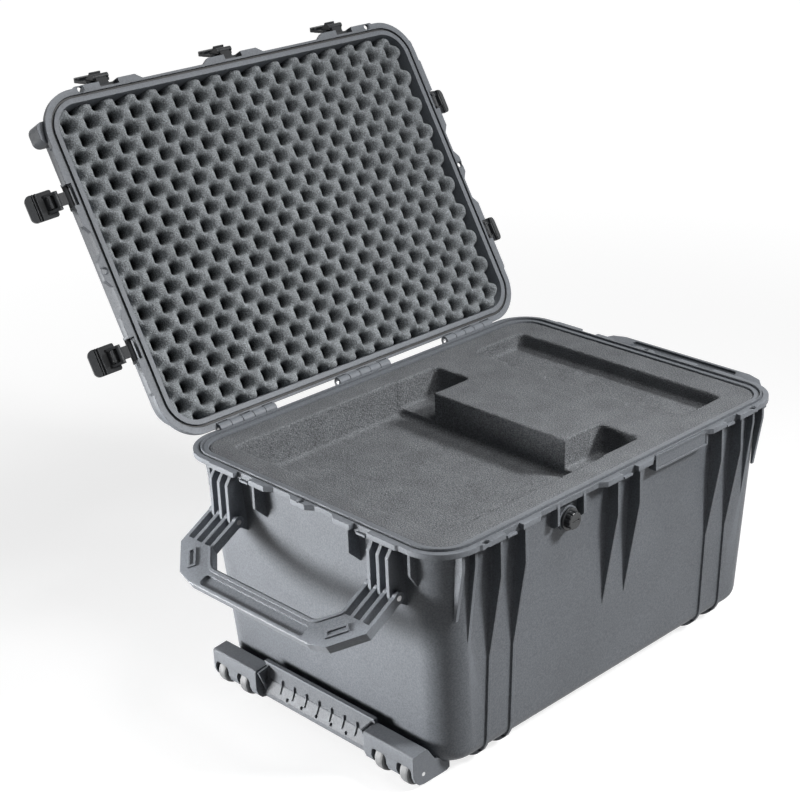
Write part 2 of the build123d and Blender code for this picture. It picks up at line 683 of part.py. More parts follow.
# ---- one latch, built shut in the front's frame ---------------------------------------------------
def link():
    """The short link from the lid's ears to the lever."""
    up = PARTING + LINK_PIVOT_UP
    down = PARTING - LEVER_PIVOT_DOWN
    eye = bar_u(EAR_R - 0.4, LATCH_GAP / 2 - LINK_SIDE_CLEAR, LINK_PIVOT_OUT, up)
    foot = bar_u(LINK_EYE_R, LINK_FOOT_W / 2, LEVER_PIVOT_OUT, down)
    half = LINK_T / 2
    web = upright([(LINK_PIVOT_OUT - half, up), (LINK_PIVOT_OUT + half, up),
                   (LEVER_PIVOT_OUT + half, down), (LEVER_PIVOT_OUT - half, down)], LINK_FOOT_W - 1)
    body = eye + foot + web
    body += bar_u(LATCH_PIN_R, LINK_FOOT_W / 2 + CHEEK_GAP + CHEEK_T, LEVER_PIVOT_OUT, down)
    return body - bar_u(LATCH_PIN_R + PIN_CLEAR, LATCH_GAP, LINK_PIVOT_OUT, up)


def lever_plate(top, low):
    """The lever's plate: rounded tip, thumb pad, ribs across the outside and in the hollow inside."""
    outer = LEVER_INNER + LEVER_T
    plate = Rectangle(LEVER_W, LEVER_LENGTH)
    plate = fillet(plate.vertices().group_by(Axis.Y)[0], LEVER_TIP_R)
    plate = fillet(plate.vertices().group_by(Axis.Y)[-1], LEVER_TIP_R / 3)
    middle = (top + low) / 2
    body = Pos(0, -LEVER_INNER, middle) * Rot(90, 0, 0) * extrude(plate, LEVER_T)
    pad = Pos(0, -(outer - LEVER_TIP_T), middle) * Rot(90, 0, 0) * extrude(plate, LEVER_TIP_T)
    tip = Pos(0, -outer, low + LEVER_TIP_RUN / 2) * Box(LEVER_W, 4 * LEVER_TIP_T, LEVER_TIP_RUN)
    body += pad & tip
    field_low = low + LEVER_TIP_RUN
    for i in range(LEVER_RIBS):
        z = field_low + (i + 0.5) * LEVER_RIB_PITCH
        body += Pos(0, -outer, z) * Rot(0, 90, 0) * Cylinder(LEVER_RIB_PROUD, LEVER_W - 4 * LEVER_EDGE_T)
        rib = Box(LEVER_W, INNER_RIB_PROUD, INNER_RIB_T, align=(Align.CENTER, Align.MIN, Align.CENTER))
        if z < top - LEVER_LENGTH / 2:
            body += Pos(0, -LEVER_INNER, z) * rib
    return body


def lever():
    """The lever with its nose, on the link's foot."""
    top = PARTING - LEVER_TOP_DROP
    low = top - LEVER_LENGTH
    body = lever_plate(top, low)
    pivot = PARTING - LEVER_PIVOT_DOWN
    cheek_low = pivot - 20
    cheek = [(LEVER_PIVOT_OUT - LINK_EYE_R, pivot), (LEVER_PIVOT_OUT, pivot + LINK_EYE_R),
             (LEVER_INNER + 1, top - 2), (LEVER_INNER + 1, cheek_low), (LEVER_PIVOT_OUT + 2, cheek_low + 4)]
    place = LINK_FOOT_W / 2 + CHEEK_GAP + CHEEK_T / 2
    for s in (-1, 1):
        body += upright(cheek, CHEEK_T, s * place)
        body += bar_u(LINK_EYE_R, CHEEK_T / 2, LEVER_PIVOT_OUT, pivot, s * place)
    nose_top = PARTING - FLANGE_T - CATCH_LIP - NOSE_CLEAR
    reach = CATCH_TOOTH_OUT - NOSE_REACH
    nose = [(reach, nose_top), (reach, nose_top - NOSE_T + 1.5), (reach + 3, nose_top - NOSE_T),
            (LEVER_INNER + 1, nose_top - NOSE_T - 4), (LEVER_INNER + 1, nose_top)]
    body += upright(nose, NOSE_W)
    return body - bar_u(LATCH_PIN_R + PIN_CLEAR, LATCH_GAP, LEVER_PIVOT_OUT, pivot)


def lever_rest(side):
    """How far a lever stands open on its link."""
    return LEVER_OPEN if side == "front" else SIDE_LEVER_REST


def link_axis():
    """Axis of a link in the front's frame: positive turns open the latch."""
    return Axis((0, -LINK_PIVOT_OUT, PARTING + LINK_PIVOT_UP), (-1, 0, 0))


def lever_axis():
    """Axis of a lever on its link, shut."""
    return Axis((0, -LEVER_PIVOT_OUT, PARTING - LEVER_PIVOT_DOWN), (-1, 0, 0))


# ---- carry handle ---------------------------------------------------------------------------------
def handle_hollow():
    """The open space inside the handle, in its own plane, with the two far corners rounded."""
    inner = HANDLE_AT - BRACKET_WEBS * BRACKET_PITCH / 2 - ARM_T / 2
    knee = ARM_RUN - 12
    far = GRIP_FAR - GRIP_W
    right = [(inner, 0), (inner, -knee), (inner - INNER_CHAMFER, -far)]
    left = [(-u, w) for u, w in reversed(right)]
    face = make_face(Polyline(right + left, close=True))
    return fillet(face.vertices().group_by(Axis.Y)[0], INNER_CORNER_R)


def handle_outline():
    """Grip and corners in the handle's own plane: (along the case end, away from the pivot)."""
    wide = HANDLE_AT + BRACKET_WEBS * BRACKET_PITCH / 2 + ARM_T / 2
    start = ARM_RUN - 12
    half = [(wide, start), (wide, ARM_RUN), (wide - CHAMFER_IN, CHAMFER_MID), (wide - CHAMFER_END, GRIP_FAR)]
    right = [(0, start)] + half + [(0, GRIP_FAR)]
    face = make_face(Polyline([(u, -s) for u, s in right], close=True))
    return face + mirror(face, Plane.YZ) - handle_hollow()


def handle_beads():
    """Raised bead that follows the inside edge, as a flat face."""
    band = offset(handle_hollow(), BEAD_IN + BEAD_W) - offset(handle_hollow(), BEAD_IN)
    return band & handle_outline()


def handle():
    """The folding handle, level, with its pivot along the x axis."""
    body = extrude(handle_outline(), GRIP_T / 2, both=True)
    body = fillet(body.edges().filter_by(Axis.X).group_by(Axis.Y)[0], 3.0)
    body += extrude(handle_beads(), GRIP_T / 2 + BEAD_PROUD, both=True)
    inner = HANDLE_AT - BRACKET_WEBS * BRACKET_PITCH / 2 - ARM_T / 2
    groove_low = GRIP_FAR - GRIP_W + BEAD_IN + BEAD_W
    groove_y = -(groove_low + GRIP_FAR) / 2
    for s in (-1, 1):
        groove = Box(2 * (inner - INNER_CHAMFER), GROOVE_W, 2 * GROOVE_DEPTH)
        groove = fillet(groove.edges().filter_by(Axis.Z), 6.0)
        body -= Pos(0, groove_y, s * GRIP_T / 2) * groove
        for side in (-1, 1):
            length, width, proud = HANDLE_BLOCK
            block = Box(length, width, 2 * proud) - Box(length - 7, width - 7, 4 * proud)
            middle = HANDLE_AT - CHAMFER_IN / 2 + 8
            spot = Pos(side * middle, -(ARM_RUN + GRIP_FAR - GRIP_W + 16) / 2, s * GRIP_T / 2)
            body += spot * Rot(0, 0, side * 45) * block
    for s in (-1, 1):
        for offset_u in bracket_offsets(BRACKET_WEBS + 1, BRACKET_PITCH):
            u = s * HANDLE_AT + offset_u
            plate = Pos(u, -ARM_RUN / 2, 0) * Box(ARM_T, ARM_RUN, GRIP_T)
            plate += Pos(u, 0, 0) * Rot(0, 90, 0) * Cylinder(ARM_EYE_R, ARM_T)
            body += plate
        body -= Pos(s * HANDLE_AT, 0, 0) * Rot(0, 90, 0) * Cylinder(HANDLE_PIN_R + PIN_CLEAR, 80)
    return body


def placed_handle(side, drop):
    """A handle on an end of the case, turned below level by an angle."""
    at_pivot = Pos(0, -HANDLE_PIVOT_OUT, PARTING - HANDLE_PIVOT_DROP)
    return on_side(side, at_pivot * Rot(drop, 0, 0) * handle())


# ---- wheels and carriage --------------------------------------------------------------------------
def axle_x():
    """The axles' place, beyond the tub's wheel-end wall."""
    return -(OPEN_X / 2 + tub_grow(AXLE_Z + RAIL_H) + AXLE_X_OUT)


def cross_bar(radius, y_low, y_high, x, z):
    """A round bar along Y."""
    return Pos(x, (y_low + y_high) / 2, z) * Rot(90, 0, 0) * Cylinder(radius, y_high - y_low)


def prism_y(points, y_low, y_high):
    """(x, z) points carried along Y."""
    face = make_face(Polyline([(x, y_low, z) for x, z in points], close=True))
    return extrude(face, y_high - y_low, dir=(0, 1, 0))


def tub_envelope():
    """The tub's outside, with the carriage's clearance."""
    gap = CARRIAGE_GAP
    body = drafted(tub_grow(RAIL_H) + gap, RIM_OUT + gap, CORNER_R + gap, RAIL_H - gap, PARTING)
    return fillet(edges_at(body, RAIL_H - gap), BASE_EDGE_R + gap)


def wheel_places():
    """Middle of each wheel along the axles."""
    return [s * y for s in (1, -1) for y in WHEEL_FROM_MIDDLE]


def well(y):
    """Cutter for the room round one wheel, open below and in front."""
    x = axle_x()
    half = WHEEL_W / 2 + WELL_SIDE_GAP
    radius = WHEEL_R + WELL_GAP
    room = fillet(cross_bar(radius, y - half, y + half, x, AXLE_Z).edges().filter_by(GeomType.CIRCLE), WELL_R)
    room += Pos(x, y, AXLE_Z / 2) * Box(2 * (radius - WELL_R), 2 * half, AXLE_Z)
    mouth = Box(2 * radius, 2 * half, MOUTH_TOP)
    mouth = fillet(mouth.edges().filter_by(Axis.X).group_by(Axis.Z)[-1], WELL_R)
    return room + Pos(x - radius, y, MOUTH_TOP / 2) * mouth


def housing(s):
    """One wheel housing with its two wells."""
    x = axle_x()
    face = x - HOUSING_FACE
    back, rise = HOUSING_RIDGE
    end = face + HOUSING_REACH
    y_low, y_high = sorted((s * HOUSING_IN, s * HOUSING_OUT))
    points = [(face, HOUSING_LIP), (face, HOUSING_TOP - 2), (face + 2, HOUSING_TOP),
              (face + back, HOUSING_TOP + rise), (face + back + 4, HOUSING_TOP - 2),
              (face + back + 16, HOUSING_TOP - 22), (end, HOUSING_TOP - 26), (end, HOUSING_FLOOR + 3),
              (end - 6, HOUSING_FLOOR), (x, HOUSING_FLOOR), (x - 9, HOUSING_FLOOR + 2), (face + 4, HOUSING_LIP - 10)]
    body = prism_y(points, y_low, y_high)
    for y in wheel_places():
        if y * s > 0:
            body -= well(y)
    return body


def carriage_bar():
    """The ribbed bar between the housings: an upright panel over a panel that leans out."""
    face = axle_x() - HOUSING_FACE
    x = face + BAR_BACK
    foot = x - BAR_SKIRT
    end = face + HOUSING_REACH
    proud, bead = BAR_BEAD
    half = HOUSING_IN + 1
    points = [(x, BAR_TOP - bead), (x - proud, BAR_TOP - bead), (x - proud, BAR_TOP), (x + BAR_T, BAR_TOP),
              (x + BAR_T, BAR_LEDGE + 7), (x + 30, BAR_LEDGE), (end, BAR_LOW), (end, BAR_FLOOR),
              (foot, BAR_FLOOR), (foot, BAR_LOW), (x - proud, BAR_LEDGE), (x, BAR_LEDGE + 1)]
    body = prism_y(points, -half, half)
    rib = [(x + 1, BAR_LEDGE + 10), (x - 2 * proud, BAR_LEDGE + 8), (x - 2 * proud, BAR_LEDGE + 1),
           (foot + 1, BAR_LOW + 7), (foot + 4, BAR_LOW + 7), (x + 1, BAR_LEDGE - 3)]
    for offset_y in bracket_offsets(BAR_RIBS, BAR_RIB_PITCH):
        body += prism_y(rib, offset_y - 1, offset_y + 1)
    for offset_y in bracket_offsets(BAR_HOLES, BAR_HOLE_PITCH):
        hole = Pos(foot, offset_y, BAR_LOW + 4) * Rot(0, 90, 0) * Cylinder(BAR_HOLE_R, 16)
        body -= hole
    stay = [(face + 1, HOUSING_TOP - 1), (x + 1, HOUSING_TOP + 4), (x + 1, BAR_LEDGE - 6), (foot + 1, BAR_LOW + 3)]
    hollow = [(face + 7, HOUSING_TOP - 4), (x - 2, HOUSING_TOP - 1), (x - 2, BAR_LEDGE - 2), (foot + 2.5, BAR_LOW + 10)]
    for s in (-1, 1):
        low, high = sorted((s * (HOUSING_IN - STAY_GAP - STAY_T), s * (HOUSING_IN - STAY_GAP)))
        body += prism_y(stay, low, high) - prism_y(hollow, low - 1, high + 1)
    return body


def wheel_carriage():
    """Both housings and the bar, fitted round the tub's bottom edge."""
    body = housing(1) + housing(-1) + carriage_bar()
    body -= tub_envelope()
    for y_low, y_high in axle_spans():
        body -= cross_bar(AXLE_R + PIN_CLEAR, y_low - 1, y_high + 1, axle_x(), AXLE_Z)
    return body.solids().sort_by(SortBy.VOLUME)[-1]


def axle_spans():
    """Start and end of each axle."""
    return [(HOUSING_IN - 1, HOUSING_OUT), (-HOUSING_OUT, -HOUSING_IN + 1)]


def wheel_axles():
    """One steel axle through each housing."""
    return Compound([cross_bar(AXLE_R, low, high, axle_x(), AXLE_Z) for low, high in axle_spans()])


def revolve_y(points, y):
    """(radius, along) points revolved about the axle."""
    face = make_face(Polyline([(r, a, 0) for r, a in points], close=True))
    return Pos(axle_x(), y, AXLE_Z) * revolve(face, Axis.Y)


def wheel_tyre(y):
    """Tyre with rounded shoulders."""
    half = WHEEL_W / 2
    inner = WHEEL_R - TYRE_T
    points = [(inner, -half + 1), (WHEEL_R - 3, -half), (WHEEL_R - 0.8, -half + 2), (WHEEL_R, -half + 5),
              (WHEEL_R, half - 5), (WHEEL_R - 0.8, half - 2), (WHEEL_R - 3, half), (inner, half - 1)]
    return revolve_y(points, y)


def wheel_hub(y):
    """Hub with dished faces and seats for two bearings."""
    half = WHEEL_W / 2
    rim = WHEEL_R - TYRE_T
    web = half - BEARING_W
    boss = BEARING_R + 2.5
    bore = AXLE_R + 1.2
    points = [(bore, -web), (BEARING_R, -web), (BEARING_R, -half), (boss, -half), (boss + 1.5, -web),
              (rim - 3, -web), (rim - 1.5, -half + 1), (rim, -half + 1), (rim, half - 1), (rim - 1.5, half - 1),
              (rim - 3, web), (boss + 1.5, web), (boss, half), (BEARING_R, half), (BEARING_R, web), (bore, web)]
    return revolve_y(points, y)


def wheel_bearings(y):
    """Two bearings in one hub."""
    half = WHEEL_W / 2
    rings = []
    for s in (-1, 1):
        low, high = sorted((s * (half - BEARING_W), s * half))
        points = [(AXLE_R + PIN_CLEAR, low), (BEARING_R, low), (BEARING_R, high), (AXLE_R + PIN_CLEAR, high)]
        rings.append(revolve_y(points, y))
    return Compound(rings)


def carriage_spacers():
    """Tubes on the axles that keep the wheels in the middle of their wells."""
    edges = []
    inner, outer = WHEEL_FROM_MIDDLE
    half = WHEEL_W / 2 + HUB_SIDE_GAP
    wall = WHEEL_W / 2 + WELL_SIDE_GAP
    for middle in (inner, outer):
        edges += [(middle - wall, middle - half), (middle + half, middle + wall)]
    tubes = []
    for low, high in edges:
        for s in (-1, 1):
            y_low, y_high = sorted((s * low, s * high))
            tube = cross_bar(AXLE_R + 2, y_low, y_high, axle_x(), AXLE_Z)
            tubes.append(tube - cross_bar(AXLE_R + PIN_CLEAR, y_low - 1, y_high + 1, axle_x(), AXLE_Z))
    return Compound(tubes)


# ---- purge valve ------------------------------------------------------------------------------------
def valve_axis_bar(radius, out_low, out_high):
    """A round bar on the valve's axis, in the front's frame, between two distances outward."""
    middle = -(out_low + out_high) / 2
    return Pos(VALVE_X, middle, PARTING - VALVE_DROP) * Rot(90, 0, 0) * Cylinder(radius, out_high - out_low)


def valve_inner_face():
    """The tub's inner wall at the valve, outward from the opening, at the valve's lowest point."""
    return cavity_grow(PARTING - VALVE_DROP - VALVE_NUT_R)


def valve_body():
    """Flanged body through the boss, with its knob post."""
    seat = VALVE_BOSS_OUT
    body = valve_axis_bar(VALVE_BODY_R, seat, seat + VALVE_BODY_T)
    body += valve_axis_bar(VALVE_STEM_R, valve_inner_face() - VALVE_NUT_T, seat + 1)
    body += valve_axis_bar(VALVE_KNOB_R - 5, seat + VALVE_BODY_T - 1, seat + VALVE_BODY_T + 4)
    return on_side("front", body)


def valve_knob():
    """Fluted knob over the post."""
    low = VALVE_BOSS_OUT + VALVE_BODY_T + 0.4
    knob = valve_axis_bar(VALVE_KNOB_R, low, low + VALVE_KNOB_T)
    knob = fillet(knob.edges().group_by(Axis.Y)[0], 2.0)
    knob -= valve_axis_bar(VALVE_KNOB_R - 5 + 0.1, low - 1, VALVE_BOSS_OUT + VALVE_BODY_T + 4.4)
    for i in range(12):
        flute = Pos(VALVE_X, -low - VALVE_KNOB_T / 2, PARTING - VALVE_DROP) * Rot(0, i * 30, 0)
        knob -= flute * Pos(VALVE_KNOB_R + 0.6, 0, 0) * Rot(90, 0, 0) * Cylinder(1.8, VALVE_KNOB_T + 2)
    slot = Pos(VALVE_X, -low - VALVE_KNOB_T, PARTING - VALVE_DROP) * Box(15, 3, 3)
    return on_side("front", knob - slot)


def valve_nut():
    """Nut on the valve's stem, inside the tub."""
    face = valve_inner_face()
    nut = extrude(RegularPolygon(VALVE_NUT_R, 6), VALVE_NUT_T)
    nut = Pos(VALVE_X, -(face - VALVE_NUT_T), PARTING - VALVE_DROP) * Rot(90, 0, 0) * nut
    nut -= valve_axis_bar(VALVE_STEM_R + PIN_CLEAR, face - VALVE_NUT_T - 1, face + 1)
    return on_side("front", nut)


# ---- foam -------------------------------------------------------------------------------------------
def pocket(x, y, size_x, size_y, depth):
    """Cutter for a pocket in the top of the insert."""
    top = PARTING - FOAM_TOP_DROP
    return Pos(x, y, top - depth) * extrude(RectangleRounded(size_x, size_y, POCKET_R), depth + 1)


def screen_pocket_x():
    """Middle of the screen's pocket."""
    return -OPEN_X / 2 + SCREEN_EDGE + SCREEN_POCKET[0] / 2


def keyboard_pocket_x():
    """Middle of the keyboard's pocket."""
    return OPEN_X / 2 - KEYBOARD_EDGE - KEYBOARD_POCKET[0] / 2


def foot_pocket_place(s):
    """Middle of one foot's pocket."""
    x = screen_pocket_x() + SCREEN_POCKET[0] / 2 + FOOT_POCKET[0] / 2 - POCKET_R
    return x, s * (OPEN_Y / 2 - FOOT_FROM_SIDE - FOOT_POCKET[1] / 2)


def foam_layer(z_low, z_high):
    """A foam layer that follows the tub's cavity."""
    radius = CORNER_R - BASE_WALL - FOAM_GAP
    return drafted(cavity_grow(z_low) - FOAM_GAP, cavity_grow(z_high) - FOAM_GAP, radius, z_low, z_high)


def foam_insert():
    """Top layer with the pockets for a screen, its two feet and a keyboard."""
    top = PARTING - FOAM_TOP_DROP
    body = foam_layer(top - INSERT_T, top)
    body -= pocket(screen_pocket_x(), 0, *SCREEN_POCKET)
    for s in (-1, 1):
        x, y = foot_pocket_place(s)
        body -= pocket(x, y, FOOT_POCKET[0] + 2 * POCKET_R, FOOT_POCKET[1], FOOT_POCKET[2])
    body -= pocket(keyboard_pocket_x(), 0, *KEYBOARD_POCKET)
    for y in bracket_offsets(4, KEYBOARD_POCKET[1] / 5):
        notch_x = keyboard_pocket_x() - KEYBOARD_POCKET[0] / 2
        depth = KEYBOARD_POCKET[2]
        body -= Pos(notch_x, y, top - depth / 2 + 0.5) * Cylinder(LIFT_R, depth + 1)
    body -= on_side("front", valve_axis_bar(VALVE_NUT_R + 3, -VALVE_NUT_T - 8, RIM_OUT))
    return body


def foam_block():
    """Solid foam under the insert."""
    low = RAIL_H + BASE_WALL
    body = foam_layer(low, PARTING - FOAM_TOP_DROP - INSERT_T)
    return fillet(edges_at(body, low), BASE_EDGE_R - BASE_WALL + 1)


# ---- assembly -----------------------------------------------------------------------------------------
def opened(shape):
    """Carry a piece of the shut lid to where the open lid holds it."""
    return shape.rotate(Axis((0, HINGE_Y, PARTING), (1, 0, 0)), -LID_OPEN)


def main():
    """Write every node."""
    os.makedirs("parts", exist_ok=True)
    save("base_shell", base_shell())
    save("foam_insert", foam_insert())
    save("foam_block", foam_block())
    save("hinge_pins", Compound(hinge_pins(HINGE_PIN_R)))
    save("handle_pins", Compound(handle_pins(HANDLE_PIN_R)))
    save("valve_body", valve_body())
    save("valve_knob", valve_knob())
    save("valve_nut", valve_nut())
    save("wheel_carriage", wheel_carriage())
    save("wheel_axles", wheel_axles())
    save("axle_spacers", carriage_spacers())
    for number, y in enumerate(wheel_places(), start=1):
        save("wheel_tyre_%d" % number, wheel_tyre(y))
        save("wheel_hub_%d" % number, wheel_hub(y))
        save("wheel_bearings_%d" % number, wheel_bearings(y))
    save("carry_handle_wheel_end", placed_handle("left", HANDLE_DROP_WHEEL_END))
    save("carry_handle_pull_end", placed_handle("right", HANDLE_DROP_PULL_END))
    save("lid_shell", opened(lid_shell()))
    save("lid_seal", opened(lid_seal()))
    save("lid_foam", opened(lid_foam()))
    save("latch_pins", Compound([opened(pin) for pin in latch_pins(LATCH_PIN_R)]))
    open_link = link().rotate(link_axis(), LINK_OPEN)
    shut_lever = lever()
    for number, (side, u) in enumerate(LATCHES, start=1):
        open_lever = shut_lever.rotate(lever_axis(), lever_rest(side)).rotate(link_axis(), LINK_OPEN)
        save("latch_link_%d" % number, opened(on_side(side, Pos(u, 0, 0) * open_link)))
        save("latch_lever_%d" % number, opened(on_side(side, Pos(u, 0, 0) * open_lever)))


if __name__ == "__main__":
    main()
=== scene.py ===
import json
from math import atan2, cos, hypot, pi, radians, sin, sqrt

import bmesh
import bpy
from mathutils import Matrix, Vector, noise


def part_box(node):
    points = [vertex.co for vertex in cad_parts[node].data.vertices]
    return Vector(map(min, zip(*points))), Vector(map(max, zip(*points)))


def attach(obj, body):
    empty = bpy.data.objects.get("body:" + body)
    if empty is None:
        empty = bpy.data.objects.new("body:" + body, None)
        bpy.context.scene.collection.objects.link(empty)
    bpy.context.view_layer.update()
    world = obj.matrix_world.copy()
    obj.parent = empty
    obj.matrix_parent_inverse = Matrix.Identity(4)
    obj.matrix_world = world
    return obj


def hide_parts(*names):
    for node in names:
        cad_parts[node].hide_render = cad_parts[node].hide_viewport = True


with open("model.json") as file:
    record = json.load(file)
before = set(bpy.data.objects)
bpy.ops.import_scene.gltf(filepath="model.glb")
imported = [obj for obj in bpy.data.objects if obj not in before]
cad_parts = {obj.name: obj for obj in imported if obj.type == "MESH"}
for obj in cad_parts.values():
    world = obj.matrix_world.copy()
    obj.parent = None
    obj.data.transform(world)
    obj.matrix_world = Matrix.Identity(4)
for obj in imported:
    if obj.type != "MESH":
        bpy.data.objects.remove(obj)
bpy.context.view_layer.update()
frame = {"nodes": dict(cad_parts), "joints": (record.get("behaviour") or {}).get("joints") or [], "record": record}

MM = 0.001
WHITE = (1.0, 1.0, 1.0)

# ---- places taken from the frame ------------------------------------------------------------------
LID_JOINT = frame["joints"][0]
HINGE = Vector(LID_JOINT["pos_m"])
LID_OPEN = radians(LID_JOINT["range_deg"][1])
PARTING = HINGE.z
FOAM_LOW, FOAM_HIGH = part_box("lid_foam")

# ---- lid foam, with the lid shut --------------------------------------------------------------------
LID_FOAM_HALF_X = (FOAM_HIGH.x - FOAM_LOW.x) / 2
LID_FOAM_HALF_Y = 252.6 * MM
LID_FOAM_TOP = 53.5 * MM      # its flat back above the parting plane
LID_FOAM_CORNER = 40 * MM
FOAM_CELL = 2.9 * MM          # mesh cells of its face
WELD = 0.02 * MM              # vertices nearer than this become one
PEAK_STEP_X = 20.6 * MM       # half the peak pitch along a row
PEAK_STEP_Y = 25.0 * MM       # row to row
PEAK_DROP = 4.5 * MM          # peaks behind the parting plane
PIT_DEPTH = 45.0 * MM         # peak to pit
PIT_SHARPNESS = 3.4           # above 1 the pits are narrower than the peaks
DOME_SHARE = 0.22             # share of the depth that is the domes' own rise
EDGE_REACH = 12.0 * MM        # how far in from the cut sides the face is rounded over
EDGE_FALL = 7.0 * MM
WOBBLE = 0.9 * MM             # uneven height of the face
WOBBLE_SCALE = 55.0           # per metre
STRAY = 1.2 * MM              # how far peaks and pits stray from their rows
STRAY_SCALE = 18.0            # per metre
STRAY_SLICE = 3.0             # where the noise is cut, apart from the wobble's own slice

# ---- tub foam -----------------------------------------------------------------------------------------
INSERT_VOXEL = 2.6 * MM
BLOCK_VOXEL = 12 * MM
CUT_SMOOTHING = 0.5           # softens the knife's edges
CUT_SMOOTHING_ROUNDS = 2
CUT_UNEVEN = 0.5 * MM
CUT_UNEVEN_SCALE = 60.0       # per metre

# ---- camera, as fitted to the photograph --------------------------------------------------------------
PHOTO_SIZE = 800
CAMERA_TARGET = Vector((0.1594, 0.1785, PARTING))
CAMERA_AZIMUTH = radians(-45.47)
CAMERA_ELEVATION = radians(21.75)
CAMERA_ROLL = radians(-1.41)
CAMERA_DISTANCE = 2.960
FOCAL_PX = 1819.8
PRINCIPAL_PX = (476.2, 359.7)
SENSOR = 36.0
CLIP_END = 100.0

# ---- light and floor ----------------------------------------------------------------------------------
ROOM_SHADE = (0.9, 0.95, 1.0)     # faint light from all round
ROOM_STRENGTH = 0.03
FLOOR_GREY = (0.3, 0.3, 0.3)      # what the lamps see of the floor
FLOOR_GLOW = 0.8                  # what the camera sees of it near the case, before the lamps
FLOOR_NEAR = 0.9                  # up to here from the middle it keeps that glow
FLOOR_FAR = 2.6                   # from here on it is white
FLOOR_HALF = 12.0

# ---- colours ------------------------------------------------------------------------------------------
CASE_GREY = (0.120, 0.129, 0.142)
FOAM_GREY = (0.150, 0.156, 0.164)
LID_FOAM_GREY = (0.225, 0.240, 0.250)
SEAL_BLACK = (0.012, 0.012, 0.013)
TYRE_GREY = (0.165, 0.168, 0.172)
STEEL_DARK = (0.48, 0.48, 0.49)
STEEL_BRIGHT = (0.66, 0.66, 0.67)


def scaled(colour, factor):
    return tuple(c * factor for c in colour)


CARRIAGE_GREY = scaled(CASE_GREY, 0.85)
HANDLE_GREY = scaled(CASE_GREY, 1.1)
LATCH_BLACK = scaled(CASE_GREY, 0.15)
HUB_BLACK = scaled(CASE_GREY, 0.2)

# ---- wear, finish and painted edge highlight ----------------------------------------------------------
GRAIN = 0.35 * MM             # moulded grain of the case
COARSE_GRAIN = 0.5 * MM
FINE_GRAIN = 0.2 * MM
SPARK_DEPTH = 1.6             # the coarse grain's relief, in fine grains
EDGE_ROUND = 1.2 * MM
EDGE_WEAR_AND_HIGHLIGHT_TONE = 1.7              # paler sharp edges, partly scuff wear and partly painted highlight, against the plastic's own colour
POLISHED = 0.06               # how much smoother than its mean the plastic gets
SCUFFED = 0.08                # and how much rougher
FOAM_ROUGHNESS = 0.95
RUBBER_SMOOTH = 0.5
RUBBER_DUSTY = 0.7


